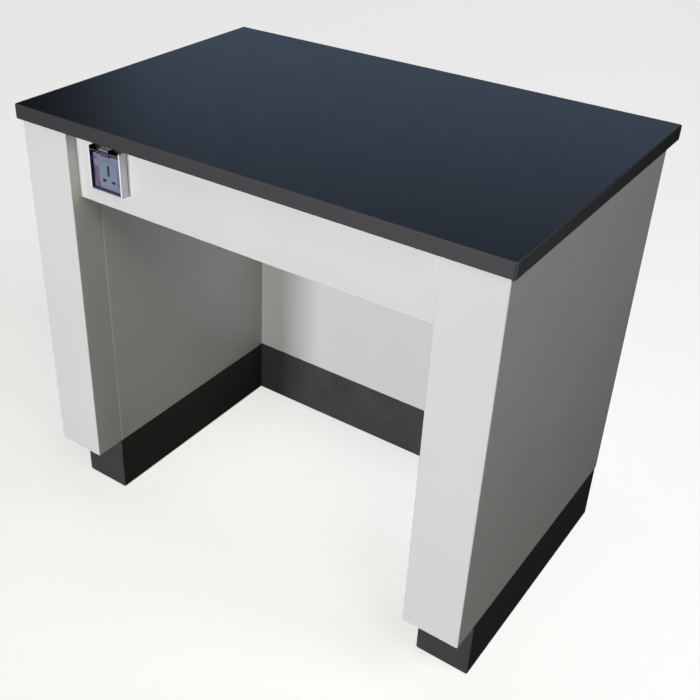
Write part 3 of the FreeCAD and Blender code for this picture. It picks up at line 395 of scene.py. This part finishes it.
def centresOf(node, reachX, reachY):
    # the four centres of a rectangular pattern of equal pieces, each of which reaches that far, in mm
    low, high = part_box(node)
    columns = (low[0] + reachX * mm, high[0] - reachX * mm)
    rows = (low[1] + reachY * mm, high[1] - reachY * mm)
    return [(x, y, low[2]) for x in columns for y in rows]


edgeLook = {"segments": 2, "sharpDegrees": 35, "flatDegrees": 1, "mergeDistance": 2e-6}


def softened(name, width):
    # a copy of a CAD node, its doubles and flat facets merged, with a round of that width in mm along each
    # sharp edge
    mesh = nodes[name].data.copy()
    work = bmesh.new()
    work.from_mesh(mesh)
    bmesh.ops.remove_doubles(work, verts=work.verts, dist=edgeLook["mergeDistance"])
    bmesh.ops.dissolve_limit(work, angle_limit=math.radians(edgeLook["flatDegrees"]), verts=work.verts,
                             edges=work.edges)
    work.to_mesh(mesh)
    work.free()
    mesh.shade_smooth()
    if "custom_normal" in mesh.attributes:
        mesh.attributes.remove(mesh.attributes["custom_normal"])
    piece = addPiece(name + "Soft", mesh, name)
    bevel = piece.modifiers.new("edges", "BEVEL")
    bevel.width = width * mm
    bevel.segments = edgeLook["segments"]
    bevel.limit_method = "ANGLE"
    bevel.angle_limit = math.radians(edgeLook["sharpDegrees"])
    bevel.harden_normals = True
    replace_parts(piece, name)


# worktop with sanded arrises

worktopEdges = {"worktop": 0.7}
for name, width in worktopEdges.items():
    softened(name, width)
print("worktop ready")


# folded sheets and brackets: the coat draws back from a cut edge and leaves it slightly round

sheetLook = {"edge": 0.4, "names": (
    "left_pedestal_shell", "right_pedestal_shell", "left_inner_panel", "right_inner_panel", "apron",
    "back_panel", "rear_panel", "left_rear_cover", "right_rear_cover", "left_plinth", "right_plinth",
    "back_plinth", "rear_plinth", "apron_brackets", "left_panel_brackets", "right_panel_brackets")}
for name in sheetLook["names"]:
    softened(name, sheetLook["edge"])
print("sheets ready")


# socket pieces with moulded edges

socketEdges = {"splash_frame": 0.5, "socket_plate": 0.35, "socket_insert": 0.4, "switch_rocker": 0.5,
               "socket_gasket": 0.2, "splash_lid": 0.3}
for name, width in socketEdges.items():
    softened(name, width)
print("socket pieces ready")


# levelling feet: threaded stems with a chamfered hexagon, moulded pads and lock nuts

foot = {"hexFlats": 19, "hexTop": 8, "hexEdge": 0.7, "hexPoints": 72, "stem": 6, "length": 79, "tip": 1.2,
        "overlap": 0.5, "pitch": 1.75, "threadDepth": 0.95, "threadGap": 1.5, "stemPoints": 40,
        "stemRings": 380, "padRadius": 24, "padTopRadius": 15, "padHeight": 12, "padPoints": 168,
        "sole": ((0, 0), (0, 15), (1.2, 15.5), (1.2, 17), (0, 17.5)), "ribs": 28, "ribDepth": 0.5,
        "nutHeight": 10, "nutEdge": 0.9, "bore": 6.05}


def ribbed(count, depth, top):
    # below a height the radius dips between ribs by depth times half of one minus the cosine of count turns
    def shape(angle, radius, height):
        dip = depth * mm * (1 - np.cos(count * angle)) / 2
        return radius - np.where((height > 0) & (height < top * mm), dip, 0)
    return shape


def hexProfile(low, high, flats, edge, bore=0):
    # profile of a hexagon with chamfered ends: out along the bottom from the bore to half the flats, up a
    # chamfer to the corner, straight up, and the same back in along the top
    corner = flats * cornerOverFlats
    return [(low, bore), (low, flats / 2), (low + edge, corner), (high - edge, corner), (high, flats / 2),
            (high, bore)]


def underMiddle(node):
    # the middle of the underside of a CAD node's box
    low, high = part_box(node)
    return (low[0] + high[0]) / 2, (low[1] + high[1]) / 2, low[2]


def footStem(node):
    # a short hexagon at the bottom, and a rod out of it whose radius dips along a thread
    centre = underMiddle(node)
    hexTop, length, flats = foot["hexTop"], foot["length"], foot["hexFlats"]
    collar = hexProfile(0, hexTop, flats, foot["hexEdge"])
    shank = rod(hexTop - foot["overlap"], length, foot["stem"], foot["tip"], foot["stemRings"])
    thread = threaded(foot["pitch"], foot["threadDepth"], hexTop + foot["threadGap"], length - foot["tip"])
    sheets = [lathe(collar, centre, foot["hexPoints"], hexagonal(flats)),
              lathe(shank, centre, foot["stemPoints"], thread)]
    piece = addPiece(node + "Turned", joinSheets(node + "Turned", sheets), node)
    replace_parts(piece, node)


def footPad(node):
    # a lathed pad: a grooved sole, a ribbed rim over the lowest third, then shoulders that narrow to the top
    rim, top, tall = foot["padRadius"], foot["padTopRadius"], foot["padHeight"]
    third = tall / 3
    profile = [*foot["sole"], (0, rim - 0.8), (0.8, rim), (third - 0.6, rim), (third, rim - 0.4),
               (third + 0.8, rim - 2.2), (tall * 0.62, rim - 5.4), (tall - 1, top + 1), (tall - 0.3, top),
               (tall, top - 0.8), (tall, 0)]
    ribs = ribbed(foot["ribs"], foot["ribDepth"], third + 0.4)
    sheets = [lathe(profile, underMiddle(node), foot["padPoints"], ribs)]
    piece = addPiece(node + "Moulded", joinSheets(node + "Moulded", sheets, 30), node)
    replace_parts(piece, node)


def lockNuts():
    # four chamfered hexagons with a plain bore
    tall, flats, bore = foot["nutHeight"], foot["hexFlats"], foot["bore"]
    profile = [*hexProfile(0, tall, flats, foot["nutEdge"], bore), (tall - 0.01, bore), (0, bore)]
    centres = centresOf("foot_lock_nuts", flats * cornerOverFlats, flats / 2)
    sheets = [lathe(profile, centre, foot["hexPoints"], hexagonal(flats)) for centre in centres]
    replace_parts(addPiece("lockNuts", joinSheets("lockNuts", sheets), "foot_lock_nuts"), "foot_lock_nuts")


for end in ("left_front", "left_rear", "right_front", "right_rear"):
    footStem(end + "_foot_stem")
    footPad(end + "_foot_pad")
lockNuts()
print("feet ready")


# worktop fixings: rubber damping pads with a waist, and hexagon bolts

fixing = {"padRadius": 19, "padBore": 4.5, "padHeight": 10, "padEdge": 0.5, "padLip": 0.8, "waist": 1.6,
          "padPoints": 64, "padRings": 13, "boltFlats": 13, "headHeight": 5.3, "hexPoints": 72,
          "boltRadius": 4, "boltLength": 87.3, "boltTip": 0.8, "boltPitch": 1.25, "boltThread": 0.7,
          "plainLength": 40, "boltPoints": 32, "boltRings": 300}


def dampingPads():
    # rings whose side draws in between two lips by the waist times the square of a half sine
    outer, bore, tall = fixing["padRadius"], fixing["padBore"], fixing["padHeight"]
    edge, lip = fixing["padEdge"], fixing["padLip"]
    level = np.linspace(lip, tall - lip, fixing["padRings"])
    side = outer - fixing["waist"] * np.sin(np.pi * (level - lip) / (tall - 2 * lip)) ** 2
    profile = [(0, bore), (0, outer - edge), (edge, outer), *zip(level, side), (tall - edge, outer),
               (tall, outer - edge), (tall, bore), (0, bore)]
    centres = centresOf("damping_pads", outer, outer)
    sheets = [lathe(profile, centre, fixing["padPoints"]) for centre in centres]
    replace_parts(addPiece("waistedPads", joinSheets("waistedPads", sheets), "damping_pads"), "damping_pads")


def worktopBolts():
    # a hexagon head under each rail, and a rod up from it, plain at first and then threaded
    flats, head, long = fixing["boltFlats"], fixing["headHeight"], fixing["boltLength"]
    corner, tip = flats * cornerOverFlats, fixing["boltTip"]
    hexagon = [(0, 0), (0, flats / 2), (0.6, corner), (head - 0.2, corner), (head, corner - 0.3), (head, 0)]
    shank = rod(head - 0.3, long, fixing["boltRadius"], tip, fixing["boltRings"])
    thread = threaded(fixing["boltPitch"], fixing["boltThread"], head + fixing["plainLength"], long - tip)
    sheets = []
    for centre in centresOf("worktop_bolts", corner, flats / 2):
        sheets += [lathe(hexagon, centre, fixing["hexPoints"], hexagonal(flats)),
                   lathe(shank, centre, fixing["boltPoints"], thread)]
    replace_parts(addPiece("hexBolts", joinSheets("hexBolts", sheets), "worktop_bolts"), "worktop_bolts")


dampingPads()
worktopBolts()
print("worktop fixings ready")


# pan-head screws with a cross recess; depths and heights in mm, places in metres

coverScrew = {"radius": 4.5, "head": 2.5, "recess": 1.7, "arm": 2.7, "armHalf": 0.5, "shank": 2.4,
              "length": 10, "pitch": 1.6, "thread": 0.6, "facing": 1}
frameScrew = {"radius": 2.5, "head": 1.4, "recess": 1.0, "arm": 1.6, "armHalf": 0.3, "shank": 1.5,
              "length": 3.8, "pitch": 0.5, "thread": 0.25, "facing": -1}
plateScrew = dict(frameScrew, length=19.8)
screwPlaces = {
    "cover_screws": [(x, 0.268, z) for x in (-0.392, 0.392) for z in (0.200, 0.630)]
                    + [(x, 0.2634, 0.740) for x in (-0.2, 0.2)],
    "frame_screws": [(-0.262, -0.2746, z) for z in (0.698, 0.762)],
    "plate_screws": [(-0.2875, -0.2806, 0.748), (-0.2365, -0.2806, 0.712)],
}
screwForm = {"points": 72, "headRings": 34, "shankRings": 160, "rimShare": 0.4, "armBlur": 0.25,
             "shankTop": 0.05, "tipLength": 0.6, "tipShare": 0.6}


def crossScrew(look, place):
    # the head falls off as a quarter ellipse over its outer half, less a cross recess whose four arms get
    # shallower with the square of the distance; the thread is a triangle wave along the shank
    width = np.ones(screwForm["points"])
    angle = np.linspace(0, 2 * np.pi, len(width), endpoint=False)
    span = look["radius"] * np.linspace(0, 1, screwForm["headRings"])[:, None] * width
    fall = np.clip(span / look["radius"] * 2 - 1, 0, 1)
    rim = screwForm["rimShare"]
    height = look["head"] * (rim + (1 - rim) * np.sqrt(1 - fall ** 2))
    sideways = np.stack([np.abs(span * np.cos(angle)), np.abs(span * np.sin(angle))])
    inArm = np.clip((look["armHalf"] - sideways.min(axis=0)) / screwForm["armBlur"] + 0.5, 0, 1)
    height -= look["recess"] * np.clip(1 - (sideways.max(axis=0) / look["arm"]) ** 2, 0, 1) * inArm
    long = look["length"]
    depth = np.linspace(screwForm["shankTop"], long - screwForm["tipLength"], screwForm["shankRings"])
    depth = depth[:, None] * width
    phase = (depth / look["pitch"] - angle / (2 * np.pi)) % 1
    shank = look["shank"] - look["thread"] * (1 - np.abs(2 * phase - 1))
    ends = ([(look["radius"], 0), (look["shank"], 0)],
            [(look["shank"] * screwForm["tipShare"], -long), (0, -long)])
    under, tip = (np.array(rows)[:, :, None] * width for rows in ends)
    radius = np.concatenate([span, under[:, 0], shank, tip[:, 0]]) * mm
    rise = np.concatenate([height, under[:, 1], -depth, tip[:, 1]]) * mm * look["facing"]
    points = [place[0] + radius * np.cos(angle), place[1] + rise, place[2] + radius * np.sin(angle)]
    return np.stack(points, axis=-1)


for name, look in (("cover_screws", coverScrew), ("frame_screws", frameScrew), ("plate_screws", plateScrew)):
    sheets = [crossScrew(look, place) for place in screwPlaces[name]]
    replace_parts(addPiece(name + "Cross", joinSheets(name + "Cross", sheets, 35), name), name)
print("screws ready")


# cable gland: a clamping nut with grip ribs, a hexagon body and the thread through the box

gland = {"centre": (-0.262, -0.2458, 0.683), "bore": 4.5, "domeRadius": 7.5, "domeHeight": 9, "flats": 19,
         "hexHeight": 6, "hexEdge": 0.6, "threadRadius": 7.5, "length": 20.2, "pitch": 1.5,
         "threadDepth": 0.8, "threadRings": 36, "ribs": 16, "ribDepth": 0.7, "ribSpan": (2.5, 8.2),
         "ribFrom": 7, "points": {"nut": 160, "body": 72, "spigot": 64}}


def gripped(angle, radius, height):
    # the clamping nut dips between grip ribs by the depth times the square of a sine of half that many turns
    dip = gland["ribDepth"] * mm * np.sin(gland["ribs"] * angle / 2) ** 2
    low, high = gland["ribSpan"]
    onNut = (height > low * mm) & (height < high * mm) & (radius > gland["ribFrom"] * mm)
    return radius - np.where(onNut, dip, 0)


def cableGland():
    # three lathed sheets from the bottom up: a domed clamping nut, a chamfered hexagon and a threaded spigot,
    # all with the same bore
    bore, dome, long, flats = gland["bore"], gland["domeHeight"], gland["length"], gland["flats"]
    grip, screw, points = gland["domeRadius"], gland["threadRadius"], gland["points"]
    hexTop = dome + gland["hexHeight"]
    nut = [(0, bore), (0, 5.4), (0.5, 6.4), (1.6, 7.1), *((level, grip) for level in (3, 4, 5, 6, 7, 8)),
           (8.4, 7.2), (dome + 0.2, 7.2), (dome + 0.2, bore), (0, bore)]
    body = [*hexProfile(dome, hexTop, flats, gland["hexEdge"], bore), (dome, bore)]
    rings = [(level, screw) for level in np.linspace(hexTop - 0.1, long - 0.4, gland["threadRings"])]
    spigot = [(hexTop - 0.2, bore), *rings, (long, screw - 0.6), (long, bore), (hexTop - 0.2, bore)]
    thread = threaded(gland["pitch"], gland["threadDepth"], hexTop + 0.3, long - 0.4)
    bands = [lathe(profile, gland["centre"], points[name], shape) for name, profile, shape in (
        ("nut", nut, gripped), ("body", body, hexagonal(flats)), ("spigot", spigot, thread))]
    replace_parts(addPiece("ribbedGland", joinSheets("ribbedGland", bands, 30), "cable_gland"), "cable_gland")


cableGland()
print("cable gland ready")


# studio

studio = {"floor": "#e9e9e7", "wall": "#b9bbbc", "roughness": 0.9, "glow": 0.88, "inset": 1.5,
          "floorRadius": 11000, "sweep": 3000, "wallHeight": 12000, "points": 96, "sweepRings": 25,
          "wallLevel": (0.0, 2.6), "world": "#ffe6ae", "worldStrength": 0.022}


def glowOutsidePlinths(tree, axes):
    # the floor's glow, less the floor that the plinths close in: the glow, minus the glow where a point lies
    # inside the outline of the plinths and is beside the knee space or behind it; the floor shut in under the
    # cabinet shows dark, a painted shadow
    inset = studio["inset"] * mm
    low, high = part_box("left_plinth")
    rear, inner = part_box("rear_plinth")[1][1] - inset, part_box("back_plinth")[0][1] + inset
    aside = distanceFrom(tree, axes, "X")
    beside = whereAll(tree, [("GREATER_THAN", aside, 0, inset - high[0])])
    behind = whereAll(tree, [("GREATER_THAN", axes, "Y", inner)])
    either = addNode(tree, "Math", {"operation": "MAXIMUM"}, {0: (beside, 0), 1: (behind, 0)})
    outline = whereAll(tree, [("LESS_THAN", aside, 0, -low[0] - inset), ("LESS_THAN", axes, "Y", rear),
                              ("GREATER_THAN", axes, "Y", low[1] + inset)])
    closed = addNode(tree, "Math", {"operation": "MULTIPLY"}, {0: (either, 0), 1: (outline, 0)})
    shadowedGlow = addNode(tree, "Math", {"operation": "MULTIPLY", 1: studio["glow"]}, {0: (closed, 0)})
    return addNode(tree, "Math", {"operation": "SUBTRACT", 0: studio["glow"]}, {1: (shadowedGlow, 0)})


def paleFloor():
    # one colour on the floor that eases into the wall's over a range of heights, and glows by itself, except
    # under the cabinet, where the glow is taken away as a painted shadow
    material, tree, place, shader = newMaterial("paleFloor", {"Roughness": studio["roughness"]})
    axes = addNode(tree, "SeparateXYZ", {}, {"Vector": (place, "Object")})
    low, high = studio["wallLevel"]
    climb = addNode(tree, "MapRange", {"From Min": low, "From Max": high, "interpolation_type": "SMOOTHSTEP"},
                    {"Value": (axes, "Z")})
    tint = addNode(tree, "Mix", {"data_type": "RGBA", 6: linear(studio["floor"]), 7: linear(studio["wall"])},
                   {0: (climb, "Result")})
    for socket in ("Base Color", "Emission Color"):
        tree.links.new(tint.outputs[2], shader.inputs[socket])
    tree.links.new(glowOutsidePlinths(tree, axes).outputs[0], shader.inputs["Emission Strength"])
    return material


def buildFloor():
    # the floor is a disc that sweeps up through a quarter circle into a round wall; it lights nothing and
    # shows in no reflection, and the collection it joins leaves it out of a lamp's light
    radius, sweep = studio["floorRadius"], studio["sweep"]
    turn = np.linspace(0, np.pi / 2, studio["sweepRings"])
    profile = [(0, 0), *zip(sweep * (1 - np.cos(turn)), radius + sweep * np.sin(turn)),
               (studio["wallHeight"], radius + sweep)]
    mesh = joinSheets("floor", [lathe(profile, (0, 0, 0), studio["points"])])
    mesh.flip_normals()
    mesh.materials.append(paleFloor())
    floor = bpy.data.objects.new("floor", mesh)
    bpy.context.scene.collection.objects.link(floor)
    floor.visible_diffuse = False
    floor.visible_glossy = False
    unlit = bpy.data.collections.new("unlit")
    unlit.objects.link(floor)
    unlit.collection_objects[0].light_linking.link_state = "EXCLUDE"
    return unlit


def setWorld():
    # an even, weak and warm light from all round
    world = bpy.data.worlds.new("studio")
    world.use_nodes = True
    background = world.node_tree.nodes["Background"]
    background.inputs["Color"].default_value = linear(studio["world"])
    background.inputs["Strength"].default_value = studio["worldStrength"]
    bpy.context.scene.world = world


def addSoftbox(name, look, unlit):
    # a rectangular area light at a place, aimed at a point, out of the camera's sight; a light that stands
    # low beside the object leaves the floor alone, or it would burn a patch into it
    data = bpy.data.lights.new(name, "AREA")
    data.shape = "RECTANGLE"
    data.size, data.size_y = look["size"]
    data.energy = look["power"]
    data.color = linear(look["colour"])[:3]
    light = bpy.data.objects.new(name, data)
    light.location = look["place"]
    light.visible_camera = False
    if look.get("sparesFloor"):
        light.light_linking.receiver_collection = unlit
    aim = Vector(look["aim"]) - Vector(look["place"])
    light.rotation_euler = aim.to_track_quat("-Z", "Y").to_euler()
    bpy.context.scene.collection.objects.link(light)


unlit = buildFloor()
setWorld()
softboxes = {
    "keyLeft": {"place": (-1.73, -7.0, 0.5), "aim": (0, 0, 0.4), "size": (1.3, 0.9), "power": 308,
                "colour": "#f6f8ff", "sparesFloor": True},
    "keyRight": {"place": (0.3, -7.0, 1.1), "aim": (0, 0, 0.4), "size": (1.3, 0.9), "power": 176,
                 "colour": "#ffffff", "sparesFloor": True},
    "sideHigh": {"place": (3.0, 0.2, 3.2), "aim": (0.4, 0, 0.6), "size": (1.6, 1.6), "power": 37,
                 "colour": "#ebf0fc"},
    "sideFront": {"place": (2.2, -1.6, 3.0), "aim": (0.4, 0, 0.6), "size": (1.2, 1.2), "power": 20,
                  "colour": "#fffbec"},
    "rear": {"place": (-3.5, 8.0, 3.3), "aim": (0, 0.2, 0.7), "size": (8.4, 3.8), "power": 62,
             "colour": "#b0ccf2"},
    "behind": {"place": (-0.7, 6.5, 0.4), "aim": (0, 0, 0.4), "size": (2.0, 0.7), "power": 150,
               "colour": "#ffffff", "sparesFloor": True},
    "beside": {"place": (-6.5, 0.8, 0.4), "aim": (0, 0, 0.4), "size": (2.0, 0.7), "power": 75,
               "colour": "#ffffff", "sparesFloor": True},
}
for name, look in softboxes.items():
    addSoftbox(name, look, unlit)

bpy.context.scene.view_settings.view_transform = "Standard"
print("lights ready")


# camera: its place in metres, and the directions to its right, down and ahead

view = {"place": (0.86099, -1.32859, 1.37034), "right": (0.80587, 0.59186, 0.01654),
        "down": (0.32424, -0.41777, -0.84873), "ahead": (-0.49542, 0.68933, -0.52857), "lens": 52.2,
        "sensor": 36, "shift": (0.0806, -0.0241)}


def addCamera():
    # the camera looks along its own -Z with +Y up, so its axes are right, minus down and minus ahead
    camera = bpy.data.cameras.new("camera")
    camera.lens = view["lens"]
    camera.sensor_width = view["sensor"]
    camera.shift_x, camera.shift_y = view["shift"]
    holder = bpy.data.objects.new("camera", camera)
    right, down, ahead = (Vector(view[name]) for name in ("right", "down", "ahead"))
    turn = Matrix((right, -down, -ahead)).transposed().to_4x4()
    holder.matrix_world = Matrix.Translation(view["place"]) @ turn
    bpy.context.scene.collection.objects.link(holder)
    bpy.context.scene.camera = holder


addCamera()
print("camera ready")
